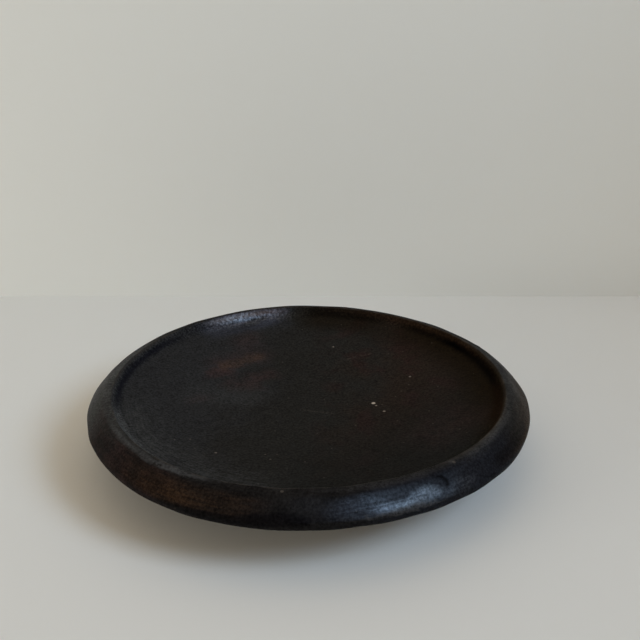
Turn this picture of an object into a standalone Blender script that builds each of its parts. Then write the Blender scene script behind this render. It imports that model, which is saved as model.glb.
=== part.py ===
"""A shallow round bowl, carved from one block of dark wood.

The floor is a wide, gentle hollow. A short steep wall rises from it to the lip. The rim has a narrow flat
on top and a broad bevel down to its round nose, and the belly runs in under the nose to a low flat foot.
The real bowl is a single piece of wood, so it is a single object here. Metres, +Z up, origin on the table
at the middle of the foot.
"""
import math

import bpy

# Overall sizes
OUTER_RADIUS = 0.1500       # axis to the widest part of the rim
HEIGHT = 0.0500             # table to the top of the lip

# Rim and lip
RIM_WIDTH = 0.0166          # widest part in to the lip's inner edge, seen from above
LIP_ROUNDING = 0.0010       # radius of the lip's inner edge
TOP_WIDTH = 0.0053          # narrow flat on top of the rim
TOP_FALL = 0.0008           # how far that flat falls outwards
EDGE_ROUNDING = 0.0025      # radius where the flat turns into the bevel
BEVEL_SLOPE = math.radians(47.0)  # fall of the broad bevel
NOSE_ROUNDING = 0.0030      # radius of the rim's widest part
UNDERCUT_SLOPE = math.radians(32.0)   # slope at which the underside leaves the nose

# Hollow
WALL_WIDTH = 0.0040         # lip's inner edge in to the crease round the floor
WALL_DEPTH = 0.0044         # lip down to that crease
FLOOR_DIP = 0.0149          # crease down to the middle of the floor

# Belly and foot
BELLY_SLOPE = math.radians(8.0)   # rise of the belly where it leaves the foot
FOOT_RADIUS = 0.0740        # flat foot and its upright side
FOOT_HEIGHT = 0.0050        # upright side of the foot
FOOT_FILLET = 0.0040        # hollow between the foot and the belly
FOOT_ROUNDING = 0.0015      # rounded edge where the foot meets the table

# Dark stained and waxed wood
WOOD_COLOUR = (0.0165, 0.0115, 0.0085, 1.0)
WOOD_ROUGHNESS = 0.45

# Fineness of the turned surface
TURN_STEPS = 64
FLOOR_POINTS = 8
NOSE_POINTS = 3
BELLY_POINTS = 7
SMALL_ARC_POINTS = 3
MERGE_DISTANCE = 0.00005

# Sizes that follow from those above
LIP_RADIUS = OUTER_RADIUS - RIM_WIDTH
FLOOR_RADIUS = LIP_RADIUS - WALL_WIDTH
CREASE_LEVEL = HEIGHT - WALL_DEPTH
FLOOR_LEVEL = CREASE_LEVEL - FLOOR_DIP


def steps(first, last, count):
    """Evenly spaced values from first to last, both ends included."""
    return [first + (last - first) * i / count for i in range(count + 1)]


def arc(centre, radius, first, last, count):
    """Points of a circle about centre, with angles measured from the outward direction."""
    return [
        (centre[0] + radius * math.cos(angle), centre[1] + radius * math.sin(angle))
        for angle in steps(first, last, count)
    ]


def floor_points():
    """The hollow: an arc of a wide circle, level on the axis and ending at the crease."""
    radius = (FLOOR_RADIUS**2 + FLOOR_DIP**2) / (2.0 * FLOOR_DIP)
    centre = (0.0, FLOOR_LEVEL + radius)
    spread = math.asin(FLOOR_RADIUS / radius)
    below = -math.pi / 2.0
    return arc(centre, radius, below, below + spread, FLOOR_POINTS)


def lip_points():
    """The lip's inner edge: the straight wall runs onto it as a tangent, and it ends level on top."""
    centre = (LIP_RADIUS, HEIGHT - LIP_ROUNDING)
    across = centre[0] - FLOOR_RADIUS
    up = centre[1] - CREASE_LEVEL
    wall_slope = math.atan2(up, across) + math.asin(LIP_ROUNDING / math.hypot(across, up))
    quarter = math.pi / 2.0
    return arc(centre, LIP_ROUNDING, quarter + wall_slope, quarter, SMALL_ARC_POINTS)


def edge_points():
    """The turn from the top flat into the bevel: an arc that touches both at their common corner."""
    corner = (LIP_RADIUS + TOP_WIDTH, HEIGHT - TOP_FALL)
    top_slope = math.atan2(TOP_FALL, TOP_WIDTH)
    cut = EDGE_ROUNDING * math.tan((BEVEL_SLOPE - top_slope) / 2.0)
    start = (corner[0] - cut * math.cos(top_slope), corner[1] + cut * math.sin(top_slope))
    centre = (start[0] - EDGE_ROUNDING * math.sin(top_slope), start[1] - EDGE_ROUNDING * math.cos(top_slope))
    upright = math.pi / 2.0
    return arc(centre, EDGE_ROUNDING, upright - top_slope, upright - BEVEL_SLOPE, SMALL_ARC_POINTS)


def nose_points(bevel_start):
    """The rim's round nose: an arc that the bevel runs onto, ending where the underside leaves it."""
    centre_radius = OUTER_RADIUS - NOSE_ROUNDING
    touch_radius = centre_radius + NOSE_ROUNDING * math.sin(BEVEL_SLOPE)
    touch_level = bevel_start[1] - (touch_radius - bevel_start[0]) * math.tan(BEVEL_SLOPE)
    centre = (centre_radius, touch_level - NOSE_ROUNDING * math.cos(BEVEL_SLOPE))
    first = math.pi / 2.0 - BEVEL_SLOPE
    last = UNDERCUT_SLOPE - math.pi / 2.0
    upper = arc(centre, NOSE_ROUNDING, first, 0.0, NOSE_POINTS)
    lower = arc(centre, NOSE_ROUNDING, 0.0, last, NOSE_POINTS)
    return upper + lower[1:]


def fillet_points():
    """The hollow line round the foot: an arc that leaves the belly's slope and ends upright."""
    centre = (FOOT_RADIUS + FOOT_FILLET, FOOT_HEIGHT)
    belly_end = math.pi / 2.0 + BELLY_SLOPE
    return arc(centre, FOOT_FILLET, belly_end, math.pi, SMALL_ARC_POINTS)


def belly_points(start, end):
    """The belly: a cubic curve that keeps the nose's slope at its start and the fillet's at its end."""
    chord = math.dist(start, end) / 3.0
    near_nose = (start[0] - chord * math.cos(UNDERCUT_SLOPE), start[1] - chord * math.sin(UNDERCUT_SLOPE))
    near_foot = (end[0] + chord * math.cos(BELLY_SLOPE), end[1] + chord * math.sin(BELLY_SLOPE))
    corners = (start, near_nose, near_foot, end)
    points = []
    for t in steps(0.0, 1.0, BELLY_POINTS):
        weights = ((1 - t) ** 3, 3 * t * (1 - t) ** 2, 3 * t**2 * (1 - t), t**3)
        points.append(tuple(sum(w * c[axis] for w, c in zip(weights, corners)) for axis in (0, 1)))
    return points


def foot_points():
    """The foot: its rounded edge, then the flat face in to the axis."""
    centre = (FOOT_RADIUS - FOOT_ROUNDING, FOOT_ROUNDING)
    edge = arc(centre, FOOT_ROUNDING, 0.0, -math.pi / 2.0, SMALL_ARC_POINTS)
    return edge + [(0.0, 0.0)]


def bowl_profile():
    """Half section of the bowl, from the middle of the floor over the rim and down to the foot."""
    edge = edge_points()
    nose = nose_points(edge[-1])
    fillet = fillet_points()
    belly = belly_points(nose[-1], fillet[0])
    return floor_points() + lip_points() + edge + nose + belly[1:] + fillet[1:] + foot_points()


def wood_material():
    """Dark stained wood with a dull wax polish."""
    material = bpy.data.materials.new("dark_wood")
    material.use_nodes = True
    shader = material.node_tree.nodes["Principled BSDF"]
    shader.inputs["Base Color"].default_value = WOOD_COLOUR
    shader.inputs["Roughness"].default_value = WOOD_ROUGHNESS
    shader.inputs["Metallic"].default_value = 0.0
    return material


def turned_object(name, profile, material, collection):
    """An object whose mesh is the profile in the XZ plane, turned once about Z."""
    mesh = bpy.data.meshes.new(name)
    points = [(radius, 0.0, level) for radius, level in profile]
    mesh.from_pydata(points, [(i, i + 1) for i in range(len(points) - 1)], [])
    mesh.materials.append(material)
    obj = bpy.data.objects.new(name, mesh)
    turning = obj.modifiers.new("turning", "SCREW")
    turning.axis = "Z"
    turning.steps = TURN_STEPS
    turning.render_steps = TURN_STEPS
    turning.use_merge_vertices = True
    turning.merge_threshold = MERGE_DISTANCE
    turning.use_smooth_shade = True
    collection.objects.link(obj)
    return obj


for old in list(bpy.data.objects):
    bpy.data.objects.remove(old, do_unlink=True)

parts = bpy.data.collections.new("carved_wooden_bowl")
bpy.context.scene.collection.children.link(parts)
turned_object("bowl", bowl_profile(), wood_material(), parts)
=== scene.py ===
"""A low round bowl carved from one block of dark wood, standing on a pale table."""

import math

import bpy
import numpy as np
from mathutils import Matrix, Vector


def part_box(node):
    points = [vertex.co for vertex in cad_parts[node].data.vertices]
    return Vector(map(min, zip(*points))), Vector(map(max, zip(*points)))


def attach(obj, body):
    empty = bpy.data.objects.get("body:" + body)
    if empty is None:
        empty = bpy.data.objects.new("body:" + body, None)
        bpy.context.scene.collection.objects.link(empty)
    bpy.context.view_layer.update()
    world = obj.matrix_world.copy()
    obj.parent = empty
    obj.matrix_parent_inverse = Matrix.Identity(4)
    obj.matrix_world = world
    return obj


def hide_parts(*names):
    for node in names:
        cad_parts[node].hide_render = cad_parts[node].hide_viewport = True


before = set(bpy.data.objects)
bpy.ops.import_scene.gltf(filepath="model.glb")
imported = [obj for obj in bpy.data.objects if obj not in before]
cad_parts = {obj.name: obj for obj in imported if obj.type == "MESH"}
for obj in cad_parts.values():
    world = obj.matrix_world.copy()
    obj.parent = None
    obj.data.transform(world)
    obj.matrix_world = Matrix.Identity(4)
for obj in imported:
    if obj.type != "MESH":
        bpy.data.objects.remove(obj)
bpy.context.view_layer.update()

# Bowl
# One block of dense wood, hewn round and hollowed with gouges, then scraped, stained nearly black and
# waxed. Years of hands have polished the rim and rubbed the stain thin on its edges and on the floor.
low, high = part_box("bowl")
OUTER_RADIUS = (high[0] - low[0]) / 2
HEIGHT = high[2] - low[2]

ARRIS_RADIUS = 0.1334        # axis to the sharp inner edge of the lip
ARRIS_ROUNDING = 0.0008
TOP_WIDTH = 0.0053           # narrow flat on top of the rim
TOP_FALL = 0.0008            # how far that flat falls outwards
EDGE_ROUNDING = 0.0090       # where the flat turns into the bevel
BEVEL_SLOPE = math.radians(47.0)
BEVEL_CROWN = 0.0008         # how far the middle of the bevel swells
BEVEL_ROUNDING = 0.0450
NOSE_ROUNDING = 0.0040       # round of the rim's widest part
UNDERCUT_SLOPE = math.radians(32.0)
UNDERCUT_WIDTH = 0.0110      # straight stretch under the nose
UNDERCUT_ROUNDING = 0.0200
BELLY_RADIUS = 0.1060        # middle of the belly
BELLY_LEVEL = 0.0122
BELLY_ROUNDING = 0.0900
WALL_WIDTH = 0.0040          # lip's inner edge in to the crease round the floor
WALL_DEPTH = 0.0056
CREASE_ROUNDING = 0.0090
FLOOR_DIP = 0.0137           # crease down to the middle of the hollow
FLOOR_SHARE = 0.94           # how much of the floor's flats its rounding takes up
FOOT_RADIUS = 0.0740
FOOT_HEIGHT = 0.0068
FOOT_FILLET = 0.0040
FOOT_ROUNDING = 0.0015
RING_GAP = 0.0026            # widest gap between the rings of the surface
ARC_GAP = math.radians(8.0)  # widest turn between two rings on an arc
SPOKES = 540                 # points round each ring


def rounded_flats(corners):
    """Points of a line of flats, and their places along it. Each corner is a radius, a level and a
    rounding: it becomes an arc of that rounding, which both flats touch."""
    tips = np.array([corner[:2] for corner in corners])
    points = [tips[:1]]
    for before, here, after, corner in zip(tips, tips[1:], tips[2:], corners[1:]):
        back = (before - here) / np.linalg.norm(before - here)
        on = (after - here) / np.linalg.norm(after - here)
        half = math.acos(np.clip(back @ on, -1.0, 1.0)) / 2
        centre = here + (back + on) / np.linalg.norm(back + on) * corner[2] / math.sin(half)
        first = here + back * corner[2] / math.tan(half) - centre
        turn = math.copysign(math.pi - 2 * half, back[1] * on[0] - back[0] * on[1])
        count = math.ceil(max(abs(turn) / ARC_GAP, abs(turn) * corner[2] / RING_GAP)) + 1
        angle = np.linspace(0.0, turn, count)[:, None]
        square = np.array([-first[1], first[0]])
        points.append(centre + np.cos(angle) * first + np.sin(angle) * square)
    points.append(tips[-1:])
    line = np.vstack(points)
    gaps = np.linalg.norm(np.diff(line, axis=0), axis=1)
    parts = np.maximum(1, np.ceil(gaps / RING_GAP)).astype(int)
    places = np.r_[0.0, np.cumsum(gaps)]
    inner = [np.linspace(a, b, n, endpoint=False) for a, b, n in zip(places, places[1:], parts)]
    along = np.r_[np.concatenate(inner), places[-1]]
    return np.stack([np.interp(along, places, line[:, axis]) for axis in (0, 1)], axis=1), along


def bowl_section():
    """Half section of the bowl from the middle of the floor, over the rim, to the middle of the foot."""
    crease = (ARRIS_RADIUS - WALL_WIDTH, HEIGHT - WALL_DEPTH)
    floor_bend = crease[0] / 2
    floor_round = FLOOR_SHARE * floor_bend / math.tan(math.atan2(FLOOR_DIP, floor_bend) / 2)
    edge = np.array([ARRIS_RADIUS + TOP_WIDTH, HEIGHT - TOP_FALL])
    nose_middle = OUTER_RADIUS - NOSE_ROUNDING
    bevel_reach = nose_middle + NOSE_ROUNDING * math.sin(BEVEL_SLOPE) - edge[0]
    nose_level = edge[1] - bevel_reach * math.tan(BEVEL_SLOPE) - NOSE_ROUNDING * math.cos(BEVEL_SLOPE)
    nose_half = (BEVEL_SLOPE + UNDERCUT_SLOPE) / 2
    nose_tip = NOSE_ROUNDING / math.sin(nose_half)
    tip_rise = (UNDERCUT_SLOPE - BEVEL_SLOPE) / 2
    nose = np.array([nose_middle, nose_level])
    nose = nose + nose_tip * np.array([math.cos(tip_rise), math.sin(tip_rise)])
    crown = (edge + nose) / 2 + BEVEL_CROWN * np.array([math.sin(BEVEL_SLOPE), math.cos(BEVEL_SLOPE)])
    undercut = nose - UNDERCUT_WIDTH * np.array([1.0, math.tan(UNDERCUT_SLOPE)])
    corners = [
        (0.0, crease[1] - FLOOR_DIP, 0.0),
        (floor_bend, crease[1] - FLOOR_DIP, floor_round),
        (*crease, CREASE_ROUNDING),
        (ARRIS_RADIUS, HEIGHT, ARRIS_ROUNDING),
        (*edge, EDGE_ROUNDING),
        (*crown, BEVEL_ROUNDING),
        (*nose, NOSE_ROUNDING),
        (*undercut, UNDERCUT_ROUNDING),
        (BELLY_RADIUS, BELLY_LEVEL, BELLY_ROUNDING),
        (FOOT_RADIUS, FOOT_HEIGHT, FOOT_FILLET),
        (FOOT_RADIUS, 0.0, FOOT_ROUNDING),
        (0.0, 0.0, 0.0),
    ]
    return rounded_flats(corners)


def closed_of_revolution(rings, name):
    """A closed surface of rings (array of rings, spokes, 3): quads between rings, a fan at both ends."""
    count, spokes = rings.shape[0] - 2, rings.shape[1]
    points = np.vstack([rings[:1, 0], rings[1:-1].reshape(-1, 3), rings[-1:, 0]])
    index = 1 + np.arange(count * spokes).reshape(count, spokes)
    after = np.roll(index, -1, axis=1)
    quads = np.stack([index[:-1], index[1:], after[1:], after[:-1]], axis=-1).reshape(-1, 4)
    top = np.stack([np.zeros(spokes, int), index[0], after[0]], axis=-1)
    end = np.full(spokes, count * spokes + 1)
    bottom = np.stack([end, after[-1], index[-1]], axis=-1)
    mesh = bpy.data.meshes.new(name)
    mesh.from_pydata(points.tolist(), [], top.tolist() + quads.tolist() + bottom.tolist())
    mesh.shade_smooth()
    return mesh


def waves_round(angle, waves):
    """Sum over (count, cosine, sine) rows: a wave with that count of crests round the bowl."""
    return sum(a * np.cos(n * angle) + b * np.sin(n * angle) for n, a, b in waves)


def hand_relief(phase_of, height, waves, seed):
    """Smooth random relief: waves of seeded direction and phase, added up, scaled to that mean height."""
    draw = np.random.default_rng(seed)
    total = sum(np.cos(phase_of(draw) + draw.uniform(0.0, 2 * math.pi)) for _ in range(waves))
    return height * math.sqrt(2 / waves) * total


def ease(value, low, high):
    """0 at low, 1 at high, with a smooth S between them."""
    share = np.clip((value - low) / (high - low), 0.0, 1.0)
    return share * share * (3 - 2 * share)


# the bowl has dried a little out of round: crests, cosine and sine shares of the radius
OUT_OF_ROUND = [(2, 0.0013, 0.0013), (3, 0.0046, -0.0011), (4, 0.0017, 0.0002), (5, -0.0014, 0.0016)]
GOUGE_HEIGHT = 0.00010       # mean height of the gouge marks left in the floor
GOUGE_LENGTHS = (0.022, 0.070)
STROKE_HEIGHT = 0.00010      # mean height of the scraper strokes round the rim
STROKE_CRESTS = (7, 34)
STROKE_WIDTHS = (0.009, 0.040)
STROKES_START = (-0.012, -0.004)  # from the lip: where gouge marks give way to strokes
STROKES_END = (0.060, 0.035)      # where the strokes fade out under the belly
RELIEF_WAVES = 40
# dents in the rim: degrees round, metres from the lip, length round, width across, depth
DENTS = [
    (252.0, 0.0046, 0.0200, 0.0042, 0.00060),
    (264.5, 0.0004, 0.0016, 0.0012, 0.00045),
    (303.5, 0.0100, 0.0030, 0.0060, 0.00012),
    (113.0, -0.0115, 0.0400, 0.0066, 0.00215),
    (25.0, 0.0062, 0.0022, 0.0022, -0.00030),
    (317.0, 0.0140, 0.0120, 0.0045, 0.00030),
    (221.0, 0.0150, 0.0160, 0.0060, 0.00022),
    (206.0, 0.0030, 0.0090, 0.0030, 0.00022),
]

section, along = bowl_section()
from_lip = along - along[np.argmax(section[:, 1])]
foot_edge = float(from_lip[np.argmin(np.hypot(section[:, 0] - FOOT_RADIUS, section[:, 1]))])
slope = np.gradient(section, along, axis=0)
outward = np.stack([-slope[:, 1], slope[:, 0]], axis=1) / np.linalg.norm(slope, axis=1, keepdims=True)
spoke = np.linspace(0.0, 2 * math.pi, SPOKES, endpoint=False)
ring_place = from_lip[:, None]
across = section[:, :1] * np.cos(spoke)
deep = section[:, :1] * np.sin(spoke)


def floor_wave(draw):
    """A plane wave over the floor, in any direction."""
    heading, length = draw.uniform(0.0, 2 * math.pi), draw.uniform(*GOUGE_LENGTHS)
    return 2 * math.pi / length * (across * math.cos(heading) + deep * math.sin(heading))


def rim_wave(draw):
    """A wave with a whole number of crests round the rim, slanting across it."""
    return draw.integers(*STROKE_CRESTS) * spoke + 2 * math.pi * ring_place / draw.uniform(*STROKE_WIDTHS)


rim_share = ease(ring_place, *STROKES_START) * ease(ring_place, *STROKES_END)
floor_share = ease(ring_place, *STROKES_START[::-1])
relief = floor_share * hand_relief(floor_wave, GOUGE_HEIGHT, RELIEF_WAVES, seed=11)
relief = relief + rim_share * hand_relief(rim_wave, STROKE_HEIGHT, RELIEF_WAVES, seed=5)
for turn, middle, length, width, depth in DENTS:
    round_way = ARRIS_RADIUS * np.angle(np.exp(1j * (spoke - math.radians(turn)))) / length
    relief = relief - depth * np.exp(-round_way**2 - ((ring_place - middle) / width) ** 2)

stretch = 1 + waves_round(spoke, OUT_OF_ROUND)
radius = section[:, :1] * stretch + relief * outward[:, :1]
level = section[:, 1:] + relief * outward[:, 1:]
surface = np.stack([radius * np.cos(spoke), radius * np.sin(spoke), level], axis=-1)

bowl_mesh = closed_of_revolution(surface, "carved_bowl")
point_place = np.r_[from_lip[0], np.repeat(from_lip[1:-1], SPOKES), from_lip[-1]]
bowl_mesh.attributes.new("from_lip", "FLOAT", "POINT").data.foreach_set("value", point_place)
bowl = bpy.data.objects.new("carved_bowl", bowl_mesh)
bpy.context.scene.collection.objects.link(bowl)


class Wire:
    """A socket of a material's nodes. Arithmetic on wires adds Math nodes; node() adds any other kind."""

    def __init__(self, tree, socket=None):
        self.tree = tree
        self.socket = socket

    def node(self, kind, settings, sockets, output=0):
        """A new node: its settings first, then a value or a link for each named or numbered socket."""
        made = self.tree.nodes.new(kind)
        for name, value in settings.items():
            setattr(made, name, value)
        for name, value in sockets.items():
            if isinstance(value, Wire):
                self.tree.links.new(value.socket, made.inputs[name])
            else:
                made.inputs[name].default_value = value
        return Wire(self.tree, made.outputs[output])

    def math(self, operation, *values):
        """A Math node on these values, each a wire or a number."""
        return self.node("ShaderNodeMath", {"operation": operation}, dict(enumerate(values)))

    def __add__(self, other):
        return self.math("ADD", self, other)

    def __sub__(self, other):
        return self.math("SUBTRACT", self, other)

    def __rsub__(self, other):
        return self.math("SUBTRACT", other, self)

    def __mul__(self, other):
        return self.math("MULTIPLY", self, other)

    def __truediv__(self, other):
        return self.math("DIVIDE", self, other)

    def __pow__(self, other):
        return self.math("POWER", self, other)

    __radd__ = __add__
    __rmul__ = __mul__


def rise(value, first, last):
    """0 where the value is first, 1 where it is last, with a smooth S between."""
    sockets = {0: value, 1: first, 2: last}
    return value.node("ShaderNodeMapRange", {"interpolation_type": "SMOOTHSTEP"}, sockets)


def bell(value, middle, width):
    """1 at the middle, falling smoothly to 0 at that width on either side."""
    return rise(value.math("ABSOLUTE", value - middle), width, 0.0)


def cloud(space, scale, detail=2.0, roughness=0.5):
    """Soft random values about 0.5, with that many features to the unit of the space."""
    sockets = {"Vector": space, "Scale": scale, "Detail": detail, "Roughness": roughness}
    return space.node("ShaderNodeTexNoise", {}, sockets, "Fac")


def tint(share, first, second):
    """The first colour where the share is 0, the second where it is 1."""
    return share.node("ShaderNodeMix", {"data_type": "RGBA"}, {0: share, 6: first, 7: second}, 2)


def shade(colour, value):
    """The colour times a number."""
    settings = {"data_type": "RGBA", "blend_type": "MULTIPLY"}
    return value.node("ShaderNodeMix", settings, {0: 1.0, 6: colour, 7: value}, 2)


# colours, in linear light
DUSTY_SHEEN = (0.0213, 0.0210, 0.0214, 1.0)       # grey of the floor's left side: painted sheen of the bright wall, with dry wax
OLIVE = (0.0170, 0.0159, 0.0140, 1.0)       # the same painted sheen, thinner, over the middle of the floor
PALE_DUST_AND_SHEEN = (0.0360, 0.0358, 0.0350, 1.0)   # dry wax left in the brush marks, and the painted sheen on the near left of the floor
PALE_LINE_AND_HIGHLIGHT = (0.0680, 0.0680, 0.0672, 1.0)   # the same along the crease, with a painted highlight along the near-left crease
BROWN_BLACK = (0.0200, 0.0142, 0.0106, 1.0)  # stain at full strength
MAROON = (0.0245, 0.0125, 0.0110, 1.0)      # red wood just showing through the stain
NEAR_BLACK = (0.0112, 0.0112, 0.0100, 1.0)  # darker towards the near right of the floor
GRIME_AND_SHADE = (0.0098, 0.0064, 0.0032, 1.0)       # old dirt and wax gathered round the floor's edge, with painted shade under the rim on the right
HAZE_AND_HIGHLIGHT = (0.0430, 0.0465, 0.0640, 1.0)        # thin bluish bloom of wax, with the painted fade of the daylight's reflection below the far-left lip
RUBBED = (0.0420, 0.0235, 0.0220, 1.0)      # wood showing through the stain on the floor
RUBBED_ORANGE = (0.0560, 0.0345, 0.0250, 1.0)
WALL_RUBBED_HIGHLIGHT = (0.0800, 0.0540, 0.0450, 1.0)  # wood showing through under the far lip, lifted as a painted warm tint of the highlight there
RIM_BLACK = (0.0070, 0.0064, 0.0064, 1.0)
RIM_BLUE_REFLECTION = (0.0080, 0.0086, 0.0112, 1.0)    # black stain with a painted bluish reflection of the daylight
RIM_MAROON = (0.0140, 0.0088, 0.0084, 1.0)  # red wood just showing through on the rim
RIM_BROWN = (0.0250, 0.0138, 0.0080, 1.0)   # wood showing through on the rim
RIM_SPOT = (0.0030, 0.0026, 0.0030, 1.0)    # near black: painted shade low on the near rim, and the dark crack mark
BELLY_BROWN = (0.0270, 0.0180, 0.0125, 1.0)  # thinner stain on the underside, lightened as painted light so the unlit belly shows
FOOT_WORN = (0.0620, 0.0420, 0.0290, 1.0)   # the foot's edge, rubbed by the table
ARRIS_WORN_AND_LIT = (0.0450, 0.0370, 0.0300, 1.0)  # the lip's edge, rubbed bare, and on the left a painted highlight along it
TOP_DUST_AND_SHEEN = (0.0420, 0.0412, 0.0420, 1.0)    # scuffs on top of the rim, and a painted sheen low on the near-right nose
CREASE_DIRT_AND_SHADE = (0.0006, 0.0003, 0.0002, 1.0)  # dirt and wax packed into the crease, with painted shade there
# painted shade, bluish, in the crease on the left, with dirt
CREASE_BLUE_SHADE = (0.0030, 0.0032, 0.0060, 1.0)
# painted shade, brown, in the crease on the near right, with dirt
CREASE_BROWN_SHADE = (0.0105, 0.0050, 0.0019, 1.0)
FLECK = (0.4500, 0.3700, 0.3000, 1.0)       # bare pale wood in chips and scratches
GRAIN_TURN = math.radians(48.0)
GRAIN_STRETCH = 9.0          # the grain's streaks are this much longer than wide
STROKE_SQUEEZE = 70.0        # scale across the rim, to the metre, of the strokes that run round it
CHIP_RAGGED = 0.0010         # how far the edges of chips and scratches wander
SPECKS_PER_METRE = 90.0
# soft worn places on the floor: both ends, half width, strength and colour
RUBS = [
    ((-0.0650, 0.0560), (-0.0390, 0.0700), 0.0190, 0.45, RUBBED),
    ((-0.0690, 0.0380), (-0.0610, 0.0420), 0.0130, 0.80, RUBBED),
    ((-0.0400, 0.0380), (-0.0300, 0.0430), 0.0120, 0.65, RUBBED),
    ((-0.0560, 0.0260), (-0.0440, 0.0260), 0.0140, 0.50, RUBBED),
    ((-0.0540, 0.0880), (-0.0470, 0.0930), 0.0170, 0.42, RUBBED),
    ((-0.0790, -0.0050), (-0.0740, 0.0000), 0.0100, 0.30, RUBBED),
    ((-0.0630, 0.0500), (-0.0390, 0.0680), 0.0080, 0.85, RUBBED_ORANGE),
    ((0.0800, -0.0580), (0.1010, -0.0360), 0.0300, 0.26, RUBBED),
]
DUSTED_LINE = ((-0.0720, 0.0050), (-0.0500, 0.0080))   # both ends of a grey place beside them
# pale chips on the floor and the rim: place of the middle, radius and strength
CHIPS = [
    ((0.0453, -0.0008), 0.0017, 1.00),
    ((0.0470, -0.0045), 0.0009, 0.50),
    ((0.0519, -0.0139), 0.0012, 0.45),
    ((0.0184, 0.0830), 0.0009, 0.45),
    ((0.0737, 0.0332), 0.0010, 0.35),
    ((-0.0565, -0.0756), 0.0010, 0.25),
    ((-0.0224, -0.0810), 0.0008, 0.14),
    ((-0.0260, -0.0744), 0.0007, 0.14),
    ((-0.0837, -0.0630), 0.0007, 0.14),
    ((-0.0744, -0.0597), 0.0008, 0.14),
    ((-0.0130, -0.1354), 0.0013, 0.10),
    ((0.0860, -0.1053), 0.0013, 0.10),
]
# fine scratches on the floor: both ends, and half width
SCRATCHES = [
    ((0.0198, 0.0599), (0.0340, 0.0672), 0.0018),
    ((0.0340, 0.0672), (0.0469, 0.0709), 0.0018),
    ((-0.0033, -0.0082), (0.0159, -0.0130), 0.0020),
]
# places on the rim: bearing in degrees, distance from the lip, half length, half width, strength
SCUFFS_AND_SHEEN = [
    (164.0, 0.0018, 0.0420, 0.0040, 0.50),
    (186.0, 0.0040, 0.0300, 0.0040, 0.36),
    (196.0, 0.0130, 0.0200, 0.0036, 0.10),
    (213.0, 0.0036, 0.0260, 0.0028, 0.62),
    (225.0, 0.0028, 0.0240, 0.0032, 0.72),
    (235.0, 0.0022, 0.0210, 0.0030, 1.00),
    (243.0, 0.0014, 0.0180, 0.0022, 0.55),
    (209.0, 0.0080, 0.0200, 0.0045, 0.14),
    (270.0, 0.0100, 0.0180, 0.0080, 0.12),
    (289.0, 0.0024, 0.0560, 0.0034, 0.26),
    # painted sheen: the table's light low on the near-right nose
    (292.0, 0.0198, 0.0300, 0.0026, 0.72),
    (309.0, 0.0016, 0.0050, 0.0016, 0.40),
    (318.0, 0.0064, 0.0200, 0.0030, 0.20),
    (322.0, 0.0030, 0.0300, 0.0026, 0.60),
    (336.0, 0.0030, 0.0200, 0.0024, 0.30),
    (2.0, 0.0055, 0.0420, 0.0060, 0.36),
    (14.0, 0.0020, 0.0340, 0.0034, 0.50),
]
# painted shade: dark places low on the near rim, in the same terms
SHADE_POOLS = [
    (263.5, 0.0190, 0.0270, 0.0048, 0.95),
    (331.0, 0.0160, 0.0340, 0.0050, 0.75),
    (252.0, 0.0215, 0.0400, 0.0032, 0.80),
]
# places with more wax polish, in the same terms
POLISHED_PLACES = [
    (281.0, 0.0148, 0.0220, 0.0080, 0.24),
    (289.0, 0.0130, 0.0270, 0.0070, 0.10),
    (290.5, 0.0165, 0.0180, 0.0034, 0.92),
    (298.0, 0.0141, 0.0125, 0.0055, 0.76),
    (307.0, 0.0168, 0.0180, 0.0055, 0.32),
    (310.0, 0.0120, 0.0240, 0.0080, 0.06),
]
BARE_PLACE = (237.0, 0.0160, 0.0270, 0.0065)   # worn wood on the near left, without a strength
CRACK_RING = (299.0, 0.0128, 0.0130, 0.0068)   # a dark mark at the end of the polish follows this ring
# grime and painted shade round the floor: from the lip, where it starts and is full, then a stretch and a
# strength
GRIME_AND_SHADE_PLACES = [
    (-0.045, -0.012, 18.0, 36.0, 22.0, 1.00),
    (-0.036, -0.016, 78.0, 13.0, 7.0, 0.75),
    (-0.018, -0.009, 343.0, 13.0, 9.0, 0.70),
]
# stretches round the bowl: bearing of the middle, half width and half fade, in degrees
BRUSHED_EDGE = (223.0, 35.0, 12.0)
BRUSHED_SPOT = (209.0, 10.0, 7.0)
PALE_CREASE_STRETCH = (212.0, 12.0, 7.0)
HIGHLIGHT_HAZE_FLOOR = (115.0, 11.0, 9.0)
RUBBED_WALL_HIGHLIGHT = (113.5, 10.5, 7.0)
BRIGHT_WALL = (113.5, 10.5, 8.0)
DARK_WALL = (80.0, 15.0, 7.0)
BROWN_SHADED_CREASE = (349.0, 9.0, 7.0)
BLUE_REFLECTION_RIM = (308.0, 20.0, 10.0)
MAROON_RIM = (217.0, 18.0, 8.0)
BROWN_NEAR_LEFT = (241.0, 15.0, 8.0)
BROWN_RIGHT = (358.0, 12.0, 8.0)
BROWN_RIGHT_LOW = (347.0, 12.0, 8.0)
BROWN_NOSE = (340.0, 13.0, 8.0)
BROWN_BACK = (90.0, 50.0, 14.0)
DULL_BACK = (90.0, 50.0, 15.0)
CRACK_ARC = (304.3, 2.2, 2.0)
FRESH_ARRIS = (300.0, 16.0, 8.0)
SCRAPED_ARRIS = (326.0, 19.0, 9.0)
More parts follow.
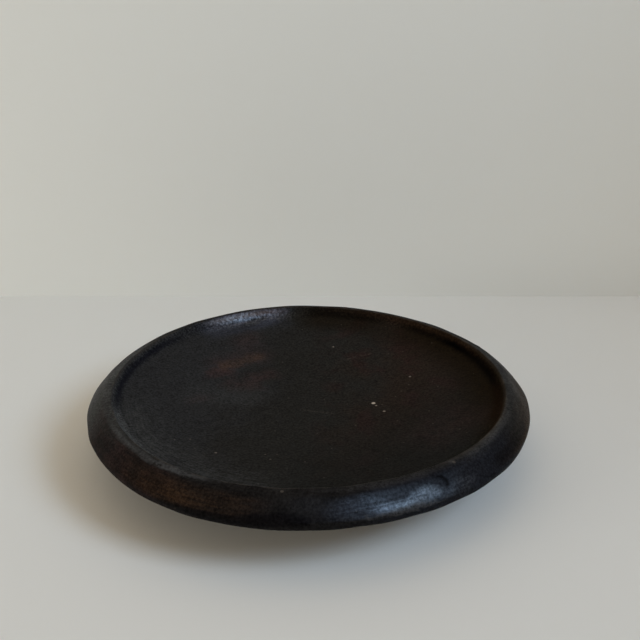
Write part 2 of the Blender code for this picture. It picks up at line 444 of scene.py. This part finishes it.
# the same, each with a strength
BROWN_WALL = [(47.0, 26.0, 12.0, 1.0), (334.0, 13.0, 8.0, 0.7)]
DIRTY_SHADED_CREASE = [(13.0, 19.0, 9.0, 0.90), (42.0, 11.0, 6.0, 0.60), (77.0, 12.0, 6.0, 0.60)]
BLUE_SHADED_CREASE = [(168.0, 24.0, 9.0, 1.0), (131.0, 6.0, 5.0, 0.35)]
WORN_ARRIS = [(42.0, 13.0, 8.0, 0.80), (89.0, 18.0, 8.0, 0.45)]
WORN_AND_LIT_INNER_ARRIS = [(3.0, 20.0, 10.0, 0.45), (166.0, 16.0, 8.0, 0.5)]
POLISHED_TOP = [(190.0, 28.0, 14.0, 0.27), (336.0, 24.0, 14.0, 0.17)]
POLISHED_BEVEL = [(0.0, 22.0, 14.0, 0.13), (187.0, 12.0, 8.0, 0.19)]
# bands across the bowl: from the lip, positive outwards, where each starts and where it is full
RIM_BAND = (-0.0010, 0.0006)
BEVEL_BAND = (0.0030, 0.0070)
LOWER_BEVEL_BAND = (0.0080, 0.0150)
UNDERSIDE_BAND = (0.0240, 0.0330)
UPPER_SIDE_BAND = (0.0260, 0.0220)
GLOSS_BAND = (-0.0045, -0.0010)

wood = bpy.data.materials.new("waxed_dark_wood")
wood.use_nodes = True
shader = wood.node_tree.nodes["Principled BSDF"]
bare = Wire(wood.node_tree)
where = bare.node("ShaderNodeTexCoord", {}, {}, "Object")
lip = bare.node("ShaderNodeAttribute", {"attribute_name": "from_lip"}, {}, "Fac")
x, y = (bare.node("ShaderNodeSeparateXYZ", {}, {0: where}, axis) for axis in "XY")
plan = bare.node("ShaderNodeCombineXYZ", {}, {0: x, 1: y})
reach = (x * x + y * y) ** 0.5
round_x, round_y = x / reach, y / reach
round_rim = bare.node("ShaderNodeCombineXYZ", {}, {0: round_x, 1: round_y, 2: lip * STROKE_SQUEEZE})
turned = {"Vector": where, "Rotation": (0.0, 0.0, GRAIN_TURN), "Scale": (GRAIN_STRETCH, 1.0, 1.0)}
with_grain = bare.node("ShaderNodeMapping", {"vector_type": "TEXTURE"}, turned)


def sector(middle, half, soft):
    """1 within (half - soft) degrees of the middle bearing, 0 beyond (half + soft), smooth between."""
    turn = math.radians(middle)
    toward = round_x * math.cos(turn) + round_y * math.sin(turn)
    return rise(toward, math.cos(math.radians(half + soft)), math.cos(math.radians(max(half - soft, 0.0))))


def sectors(rows):
    """Sum of sectors, each times its strength."""
    total = 0.0
    for *arc, strength in rows:
        total = sector(*arc) * strength + total
    return total


def apart(turn, middle, length, width):
    """Square of the distance from a place on the rim, in half lengths round and half widths across."""
    toward = round_x * math.cos(math.radians(turn)) + round_y * math.sin(math.radians(turn))
    return (1 - toward) * (2 * (OUTER_RADIUS / length) ** 2) + ((lip - middle) / width) ** 2.0


def away_from(first, last):
    """Distance of the surface, seen from above, from the straight line between two points."""
    first, last = np.array([*first, 0.0]), np.array([*last, 0.0])
    way = (last - first) / max(np.sum((last - first) ** 2), 1e-12)
    offset = plan.node("ShaderNodeVectorMath", {"operation": "SUBTRACT"}, {0: plan, 1: first})
    share = plan.node("ShaderNodeVectorMath", {"operation": "DOT_PRODUCT"}, {0: offset, 1: way}, "Value")
    share = share.math("MINIMUM", share.math("MAXIMUM", share, 0.0), 1.0)
    run = plan.node("ShaderNodeVectorMath", {"operation": "SCALE"}, {0: last - first, "Scale": share})
    return plan.node("ShaderNodeVectorMath", {"operation": "DISTANCE"}, {0: offset, 1: run}, "Value")


# stain and grain, from broad blotches down to single pores, with painted sheen, shade and highlight on the
# floor
mottle = cloud(where, 28.0, 3.0, 0.6)
fine_mottle = cloud(where, 160.0, 3.0, 0.6)
grit = cloud(where, 650.0, 3.0, 0.7)
streak = cloud(with_grain, 150.0, 3.0, 0.6)
pore = rise(cloud(with_grain, 1300.0, 1.0), 0.60, 0.78)
strokes = cloud(round_rim, 11.0, 3.0, 0.6)
fine_strokes = cloud(round_rim, 60.0, 2.0, 0.6)
red_mottle = cloud(where, 46.0, 2.0, 0.6)
gouged = cloud(where, 420.0, 2.0, 0.6)
# painted sheen: the floor is greyer and lighter to the left and browner to the right, as the light falls
warmth = x - y * 0.15 + (mottle - 0.5) * 0.10
colour = tint(rise(warmth, -0.085, -0.010), DUSTY_SHEEN, OLIVE)
colour = tint(rise(warmth, 0.005, 0.070), colour, BROWN_BLACK)
reddened = rise(red_mottle, 0.46, 0.64) * rise(x, -0.005, 0.040)
colour = tint(reddened * 0.55, colour, MAROON)
# darker towards the near right of the floor
near_side = rise(x - y + (mottle - 0.5) * 0.06, 0.030, 0.160)
colour = tint(near_side * 0.9, colour, NEAR_BLACK)
# painted shade with grime: darker round the floor's edge, most on the right
for start, full, *arc, strength in GRIME_AND_SHADE_PLACES:
    colour = tint(rise(lip, start, full) * sector(*arc) * strength, colour, GRIME_AND_SHADE)
dusted = rise(away_from(*DUSTED_LINE) + (mottle - 0.5) * 0.03, 0.026, 0.004)
# dry wax in brush marks, and on the near left of the floor a painted sheen
dust_and_sheen_edge = rise(lip, -0.048, -0.010) * sector(*BRUSHED_EDGE) * rise(strokes, 0.36, 0.66)
brushed_spot = bell(lip, -0.0180, 0.0080) * sector(*BRUSHED_SPOT)
colour = tint(dusted * 0.35 + dust_and_sheen_edge * 0.95 + brushed_spot * 0.30, colour, PALE_DUST_AND_SHEEN)
# pale line in the near-left crease: dry wax and a painted highlight
pale_crease_line = bell(lip + (strokes - 0.5) * 0.006, -0.0048, 0.0064) * sector(*PALE_CREASE_STRETCH)
pale_crease_line = pale_crease_line * (0.35 + rise(fine_strokes, 0.40, 0.62) * 0.75)
colour = tint(pale_crease_line * 0.95, colour, PALE_LINE_AND_HIGHLIGHT)
# painted reflection: bluish fade of the far-left highlight onto the floor
highlight_haze = rise(lip, -0.0280, -0.0080) * sector(*HIGHLIGHT_HAZE_FLOOR)
colour = tint(highlight_haze * (0.35 + rise(streak, 0.35, 0.65) * 0.65), colour, HAZE_AND_HIGHLIGHT)

# stain rubbed thin on the floor
fray = (mottle - 0.5) * 0.020 + (fine_mottle - 0.5) * 0.022 + (streak - 0.5) * 0.014
worn_thin = 0.25 + rise(streak, 0.36, 0.64) * 0.40 + rise(fine_mottle, 0.40, 0.60) * 0.45
for one_end, other_end, half_width, strength, wood_colour in RUBS:
    rubbed = rise(away_from(one_end, other_end) + fray, half_width, 0.0) * strength
    colour = tint(rubbed * worn_thin, colour, wood_colour)
floor_grain = (streak - 0.5) * 0.35 + (fine_mottle - 0.5) * 0.45 + (grit - 0.5) * 2.8
colour = shade(colour, 1.0 + floor_grain)

# rim, belly and foot, with painted shade low on the near rim and a painted bluish reflection
on_rim = rise(lip, *RIM_BAND)
bevel = rise(lip, *BEVEL_BAND)
lower_bevel = rise(lip, *LOWER_BEVEL_BAND)
underside = rise(lip, *UNDERSIDE_BAND)
rim_mottle = cloud(where, 75.0, 3.0, 0.6)
streaky = rise(strokes * 0.7 + fine_strokes * 0.5 + rim_mottle * 0.4, 0.60, 1.05)
# painted reflection: bluish cast on the near-right rim
rim_colour = tint(sector(*BLUE_REFLECTION_RIM) * rise(lip, 0.0010, 0.0050), RIM_BLACK, RIM_BLUE_REFLECTION)
reddish = sector(*MAROON_RIM) * bevel * rise(rim_mottle + strokes, 0.70, 1.20)
rim_colour = tint(reddish, rim_colour, RIM_MAROON)
browned = sector(*BROWN_NEAR_LEFT) * rise(lip, 0.0040, 0.0100) * rise(lip, 0.0225, 0.0180)
browned = browned * (0.22 + streaky * 0.54)
browned = browned + rise(apart(*BARE_PLACE), 1.0, 0.0) * (0.2 + streaky * 0.4)
browned = browned + sector(*BROWN_RIGHT_LOW) * lower_bevel * 0.30 + sector(*BROWN_RIGHT) * bevel * 0.22
browned = browned + sector(*BROWN_BACK) * lower_bevel * (0.10 + streaky * 0.45)
browned = browned + bell(lip, 0.0195, 0.0032) * sector(*BROWN_NOSE) * 0.30
rim_colour = tint(browned, rim_colour, RIM_BROWN)
# underside lighter: thinner stain, and painted light for the unlit belly
rim_colour = tint(underside * (0.25 + rise(streak, 0.38, 0.62) * 0.65), rim_colour, BELLY_BROWN)
foot_worn = bell(lip, foot_edge, 0.0045) * rise(rim_mottle, 0.30, 0.60)
rim_colour = tint(foot_worn * 0.8, rim_colour, FOOT_WORN)
# painted shade: dark reflection of the shaded table low on the near rim
for *place, strength in SHADE_POOLS:
    rim_shade = rise(apart(*place) + (rim_mottle - 0.5) * 1.2, 1.0, 0.3) * strength
    rim_colour = tint(rim_shade, rim_colour, RIM_SPOT)
scratchy = (strokes - 0.5) * 2.4 + (grit - 0.5) * 2.4 + (gouged - 0.5) * 2.2
# pale scuffs, and one painted sheen low on the near-right nose
for *place, strength in SCUFFS_AND_SHEEN:
    scuff_and_sheen = rise(apart(*place) + scratchy, 1.0, 0.0) * strength
    rim_colour = tint(scuff_and_sheen, rim_colour, TOP_DUST_AND_SHEEN)
crack = bell(apart(*CRACK_RING) + (rim_mottle - 0.5) * 1.2, 1.20, 0.46)
crack = crack * sector(*CRACK_ARC) * rise(lip, 0.0172, 0.0130) * rise(lip, 0.0052, 0.0078)
rim_colour = tint(crack * 0.95, rim_colour, RIM_SPOT)
rim_grain = (strokes - 0.5) * 0.9 + (rim_mottle - 0.5) * 1.2 + (grit - 0.5) * 3.0
rim_colour = shade(rim_colour, 1.0 + rim_grain)
colour = tint(on_rim, colour, rim_colour)

# inner wall, crease and worn edge, with painted shade in the crease and a painted highlight under the far
# lip
ragged_lip = lip + (rim_mottle - 0.5) * 0.003 + (gouged - 0.5) * 0.004
colour = tint(bell(lip, -0.0026, 0.0044) * sectors(BROWN_WALL) * 0.60, colour, RIM_BROWN)
# painted highlight: warm lift of the wall under the far-left reflection, with wood showing through
colour = tint(bell(lip, -0.0034, 0.0040) * sector(*RUBBED_WALL_HIGHLIGHT) * 0.90, colour, WALL_RUBBED_HIGHLIGHT)
# darker just inside the back lip
colour = tint(bell(lip, -0.0028, 0.0042) * sector(*DARK_WALL) * 0.22, colour, CREASE_DIRT_AND_SHADE)
# painted shade with dirt: dark crease on the right and back
colour = tint(bell(ragged_lip, -0.0070, 0.0060) * sectors(DIRTY_SHADED_CREASE) * 0.95, colour, CREASE_DIRT_AND_SHADE)
# painted shade with dirt: dark bluish crease on the left
colour = tint(bell(ragged_lip, -0.0060, 0.0046) * sectors(BLUE_SHADED_CREASE) * 0.80, colour, CREASE_BLUE_SHADE)
# painted shade with dirt: dark brown crease on the near right
colour = tint(bell(ragged_lip, -0.0076, 0.0064) * sector(*BROWN_SHADED_CREASE) * 0.75, colour, CREASE_BROWN_SHADE)
on_wall = rise(lip, -0.0110, -0.0060) * rise(lip, 0.0006, -0.0010)
wall_grain = (grit - 0.5) * 2.2 + (gouged - 0.5) * 1.2
colour = shade(colour, 1.0 + wall_grain * on_wall)
arris = bell(lip, -0.0002, 0.0013) * rise(strokes + (rim_mottle - 0.5) * 0.8, 0.42, 0.62)
arris = arris * (1 - sector(*FRESH_ARRIS) * 0.6)
arris = arris + bell(lip, 0.0006, 0.0018) * sector(*SCRAPED_ARRIS) * (0.25 + strokes * 0.6)
arris = arris + bell(lip, 0.0003, 0.0018) * sectors(WORN_ARRIS)
# along the inner edge on the left the pale line is partly wear, partly a painted highlight
arris = arris + bell(lip, -0.0012, 0.0024) * sectors(WORN_AND_LIT_INNER_ARRIS)
colour = tint(arris * 0.6, colour, ARRIS_WORN_AND_LIT)

# chips and scratches
rough_edge = (grit - 0.5) * CHIP_RAGGED
upper_side = rise(lip, *UPPER_SIDE_BAND)
chipped = 0.0
for point, chip_radius, strength in CHIPS:
    chip = rise(away_from(point, point) + rough_edge, chip_radius, chip_radius * 0.5) * strength
    chipped = chip.math("MAXIMUM", chip, chipped)
chipped = chipped * upper_side
scratched = 0.0
for one_end, other_end, half_width in SCRATCHES:
    scratch = rise(away_from(one_end, other_end) + rough_edge * 0.6, half_width, 0.0)
    scratched = scratch.math("MAXIMUM", scratch, scratched)
scattered = {"Vector": where, "Scale": SPECKS_PER_METRE}
from_speck = where.node("ShaderNodeTexVoronoi", {}, scattered, "Distance")
specks = rise(from_speck + rough_edge * 60.0, 0.075, 0.030)
scratched = scratched * upper_side * rise(gouged, 0.38, 0.58)
colour = tint(scratched * 0.036, colour, FLECK)
colour = tint(specks * 0.07, colour, FLECK)
colour = tint(chipped, colour, FLECK)
wood.node_tree.links.new(colour.socket, shader.inputs["Base Color"])

# wax polish
shader.inputs["Specular IOR Level"].default_value = 0.01
shader.inputs["Coat Roughness"].default_value = 0.34
floor_gloss = 0.55 + fine_mottle * 0.20 + streak * 0.08
rim_gloss = 0.30 + strokes * 0.16 + rim_mottle * 0.14
roughness = floor_gloss + (rim_gloss - floor_gloss) * rise(lip, *GLOSS_BAND)
wood.node_tree.links.new(roughness.socket, shader.inputs["Roughness"])
brushed = rise(strokes * 0.7 + rim_mottle * 0.5, 0.30, 0.80)
sparkle = 0.6 + rise(grit, 0.36, 0.66) * 0.8
top_polish = on_rim * (1 - bevel) * (0.10 + sectors(POLISHED_TOP)) * (1 - sector(*DULL_BACK) * 0.85)
top_polish = top_polish * (0.80 + (rim_mottle - 0.5) * 1.6 + rise(gouged, 0.35, 0.65) * 0.40)
bevel_polish = bevel * (0.06 + sectors(POLISHED_BEVEL))
ragged = (strokes - 0.5) * 1.6 + (rim_mottle - 0.5) * 1.2
stroked = 0.35 + rise(strokes, 0.36, 0.62) * 0.85
for *place, strength in POLISHED_PLACES:
    bevel_polish = bevel_polish + rise(apart(*place) + ragged, 1.25, 0.0) * stroked * strength
bevel_polish = bevel_polish * (1 - crack * 0.95)
wall_polish = sector(*BRIGHT_WALL) * rise(lip, -0.0150, -0.0070) * rise(lip, -0.0002, -0.0034)
wall_polish = wall_polish * (0.27 + brushed * 0.46) * (0.45 + rise(gouged, 0.40, 0.60) * 1.2)
polish = (top_polish + bevel_polish + wall_polish) * sparkle * (1 - chipped)
wood.node_tree.links.new(polish.socket, shader.inputs["Coat Weight"])
height = streak * 0.25 + pore * -0.5 + fine_mottle * 0.35 + fine_strokes * on_rim * 0.20 + grit * 0.30
normal = bare.node("ShaderNodeBump", {}, {"Strength": 1.0, "Distance": 0.00010, "Height": height})
wood.node_tree.links.new(normal.socket, shader.inputs["Normal"])
bowl_mesh.materials.append(wood)

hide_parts("bowl")
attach(bowl, "root")

# Table and wall
# A pale painted table top and a low pale plastered wall behind it, both plain and matt.
# The wall is one-sided, so that the bowl can be seen from behind it as well.
WALL_PLACE = 0.284
WALL_HEIGHT = 0.520
STAGE_HALF = 2.5
TABLE_PAINT = (0.74, 0.73, 0.70, 1.0)
WALL_PAINT = (0.72, 0.71, 0.67, 1.0)


def plain_sheet(name, corner, first, second, colour):
    """A flat sheet: its corner, plus shares 0 and 1 of two side vectors."""
    corner, first, second = np.array(corner), np.array(first), np.array(second)
    points = np.stack([corner, corner + first, corner + first + second, corner + second])
    mesh = bpy.data.meshes.new(name)
    mesh.from_pydata(points.tolist(), [], [(0, 1, 2, 3)])
    material = bpy.data.materials.new(name)
    material.use_nodes = True
    principled = material.node_tree.nodes["Principled BSDF"]
    principled.inputs["Base Color"].default_value = colour
    principled.inputs["Roughness"].default_value = 0.8
    principled.inputs["Specular IOR Level"].default_value = 0.2
    mesh.materials.append(material)
    sheet = bpy.data.objects.new(name, mesh)
    bpy.context.scene.collection.objects.link(sheet)
    return sheet


table_top = plain_sheet("table_top", (-STAGE_HALF, -STAGE_HALF, 0.0), (2 * STAGE_HALF, 0, 0),
                        (0, 2 * STAGE_HALF, 0), TABLE_PAINT)
wall = plain_sheet("wall", (-STAGE_HALF, WALL_PLACE, 0.0), (2 * STAGE_HALF, 0, 0),
                   (0, 0, WALL_HEIGHT), WALL_PAINT)
wall.visible_shadow = False
wall_nodes = wall.data.materials[0].node_tree
plaster = Wire(wall_nodes, wall_nodes.nodes["Principled BSDF"].outputs[0])
behind = plaster.node("ShaderNodeNewGeometry", {}, {}, "Backfacing")
clear = plaster.node("ShaderNodeBsdfTransparent", {}, {})
one_sided = plaster.node("ShaderNodeMixShader", {}, {0: behind, 1: plaster, 2: clear})
wall_nodes.links.new(one_sided.socket, wall_nodes.nodes["Material Output"].inputs["Surface"])

# Light and camera
# Soft daylight from the right, a weaker glow from above, and a dim room. The window and the fill light the
# matt surfaces, and the pane and the curtain are the same daylight as the wax reflects it.
ROOM_GLOW = (0.40, 0.34, 0.26, 1.0)
ROOM_SEEN = (0.64, 0.63, 0.60, 1.0)
# lamps: azimuth and elevation in degrees, distance and side in metres, watts, colour
WINDOW = (-31.0, 43.0, 1.6, 0.62, 3.51, (0.59, 0.78, 1.0))
WINDOW_AIM = (-0.9, 0.2, 0.0)
WINDOW_SPREAD = math.radians(80.0)
PANE = (-33.0, 44.0, 1.6, 0.60, 13.8, (0.47, 0.70, 1.0))
PANE_HEIGHT = 0.90
CURTAIN = (-63.0, 47.0, 1.6, 0.70, 4.2, (0.32, 0.56, 1.0))
CEILING = (0.0, 88.0, 1.7, 1.6, 1.93, (1.0, 0.79, 0.57))
FILL = (-150.0, 10.0, 1.4, 0.6, 5.83, (0.99, 1.0, 0.94))
CAMERA_LENS = 50.56          # millimetres, on a sensor of that width
CAMERA_SENSOR = 36.0
CAMERA_PLACE = (0.0080, -0.5554, 0.3304)
CAMERA_DIP = 22.993          # degrees that it looks down

world = bpy.data.worlds.new("room")
world.use_nodes = True
room = Wire(world.node_tree)
seen = room.node("ShaderNodeLightPath", {}, {}, "Is Camera Ray")
backdrop = tint(seen, ROOM_GLOW, ROOM_SEEN)
world.node_tree.links.new(backdrop.socket, world.node_tree.nodes["Background"].inputs["Color"])
bpy.context.scene.world = world


def soft_light(name, azimuth, elevation, distance, size, power, colour, aim=(0.0, 0.0, 0.0)):
    """A square lamp on a sphere about the bowl, facing the aim."""
    a, e = math.radians(azimuth), math.radians(elevation)
    place = distance * Vector((math.cos(e) * math.cos(a), math.cos(e) * math.sin(a), math.sin(e)))
    lamp = bpy.data.lights.new(name, "AREA")
    lamp.size = size
    lamp.energy = power
    lamp.color = colour
    obj = bpy.data.objects.new(name, lamp)
    obj.location = place
    obj.rotation_euler = (Vector(aim) - place).to_track_quat("-Z", "Y").to_euler()
    bpy.context.scene.collection.objects.link(obj)
    return obj


window = soft_light("window", *WINDOW, aim=WINDOW_AIM)
window.data.spread = WINDOW_SPREAD
window.visible_glossy = False
pane = soft_light("pane", *PANE)
pane.data.shape = "RECTANGLE"
pane.data.size_y = PANE_HEIGHT
pane.visible_diffuse = False
curtain = soft_light("curtain", *CURTAIN)
curtain.visible_diffuse = False
soft_light("ceiling", *CEILING)
fill = soft_light("fill", *FILL)
fill.visible_glossy = False

camera_data = bpy.data.cameras.new("camera")
camera_data.sensor_width = CAMERA_SENSOR
camera_data.lens = CAMERA_LENS
camera = bpy.data.objects.new("camera", camera_data)
camera.location = CAMERA_PLACE
camera.rotation_euler = (math.radians(90.0 - CAMERA_DIP), 0.0, 0.0)
bpy.context.scene.collection.objects.link(camera)
bpy.context.scene.camera = camera
bpy.context.scene.view_settings.view_transform = "Standard"
